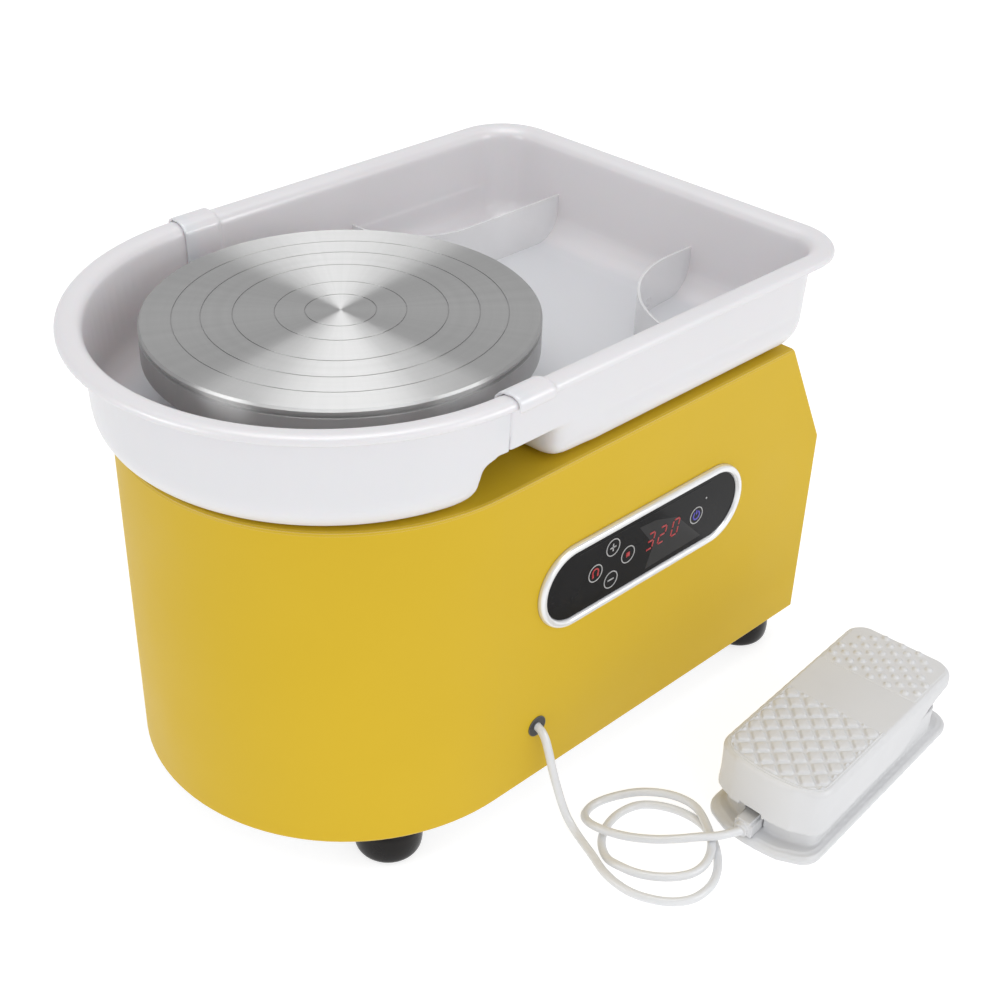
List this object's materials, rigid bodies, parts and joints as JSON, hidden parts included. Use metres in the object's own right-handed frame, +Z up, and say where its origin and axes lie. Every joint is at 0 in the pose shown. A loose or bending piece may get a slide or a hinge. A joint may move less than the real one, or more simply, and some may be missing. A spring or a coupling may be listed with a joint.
{
  "type": "pottery wheel",
  "caption": "Tabletop electric pottery wheel: turned metal wheel head in a split splash basin on a painted housing, touch panel on one side, wired foot pedal.",
  "frame": {"origin": "centre of the machine and pedal footprint, on the floor", "axes": "+Z up along the spindle, -Y towards the round front, +X towards the control panel and pedal"},
  "size_m": [0.539, 0.56, 0.391],
  "materials": {
    "housing_paint": "satin",
    "black_plastic": "satin",
    "bezel_silver": "gloss",
    "panel_glass": "gloss",
    "board_green": "satin",
    "cast_alloy": "cast",
    "head_alloy": "turned",
    "steel": "bright",
    "motor_paint": "satin",
    "zinc_case": "dull",
    "belt_rubber": "matte",
    "foot_rubber": "gloss",
    "basin_white": "satin",
    "divider_clear": "translucent",
    "pedal_white": "satin",
    "cord_pvc": "satin"
  },
  "bodies": {
    "machine": {"housing_shell": "housing_paint", "base_plate": "zinc_case", "rear_vents": "black_plastic", "control_bezel": "bezel_silver", "touch_panel": "panel_glass", "display_board": "board_green", "cord_grommet": "black_plastic", "bearing_housing": "cast_alloy", "bearing_flange": "cast_alloy", "spindle_bearings": "steel", "bearing_screws": "steel", "motor_bracket": "zinc_case", "bracket_posts": "steel", "motor_body": "motor_paint", "motor_cap": "black_plastic", "drive_belt": "belt_rubber", "controller_box": "zinc_case", "power_supply": "zinc_case", "power_inlet": "black_plastic", "fuse_cap": "black_plastic", "switch_frame": "black_plastic", "rubber_feet": "foot_rubber", "foot_screws": "steel", "base_screws": "steel", "pedal_base": "pedal_white", "pedal_pads": "foot_rubber", "hinge_pin": "steel", "torsion_spring": "steel", "sensor_board": "board_green", "pedal_screws": "steel", "strain_relief": "pedal_white", "pedal_cord": "cord_pvc"},
    "wheel": {"wheel_head": "head_alloy", "hub_screw": "steel", "spindle": "steel", "driven_pulley": "cast_alloy"},
    "rotor": {"motor_rotor": "steel", "motor_pulley": "cast_alloy"},
    "rocker": {"switch_rocker": "black_plastic"},
    "front_half": {"front_basin": "basin_white"},
    "rear_half": {"rear_basin": "basin_white", "divider_far": "divider_clear", "divider_near": "divider_clear"},
    "treadle_body": {"treadle": "pedal_white", "heel_grip": "pedal_white", "toe_grip": "pedal_white", "treadle_magnet": "steel"}
  },
  "joints": [
    {"name": "wheel_spin", "type": "hinge", "parent": "machine", "child": "wheel", "pos_m": [-0.079, -0.084, 0.36], "axis": [0, 0, 1], "continuous": true},
    {"name": "motor_spin", "type": "hinge", "parent": "machine", "child": "rotor", "pos_m": [-0.079, 0.131, 0.096], "axis": [0, 0, 1], "continuous": true},
    {"name": "mains_switch", "type": "hinge", "parent": "machine", "child": "rocker", "pos_m": [-0.041, 0.274, 0.072], "axis": [1, 0, 0], "range_deg": [-24, 0]},
    {"name": "front_slide", "type": "slide", "parent": "machine", "child": "front_half", "axis": [0, -1, 0], "range_m": [0, 0.18]},
    {"name": "rear_slide", "type": "slide", "parent": "machine", "child": "rear_half", "axis": [0, 1, 0], "range_m": [0, 0.18]},
    {"name": "treadle_press", "type": "hinge", "parent": "machine", "child": "treadle_body", "pos_m": [0.22023, 0.10423, 0.025], "axis": [-0.9962, -0.0872, 0], "range_deg": [0, 12], "stiffness_Nm_per_rad": 1.2, "springref_deg": -20.05}
  ],
  "couplings": [
    {"joint": "motor_spin", "follows": "wheel_spin", "ratio": 3}
  ]
}
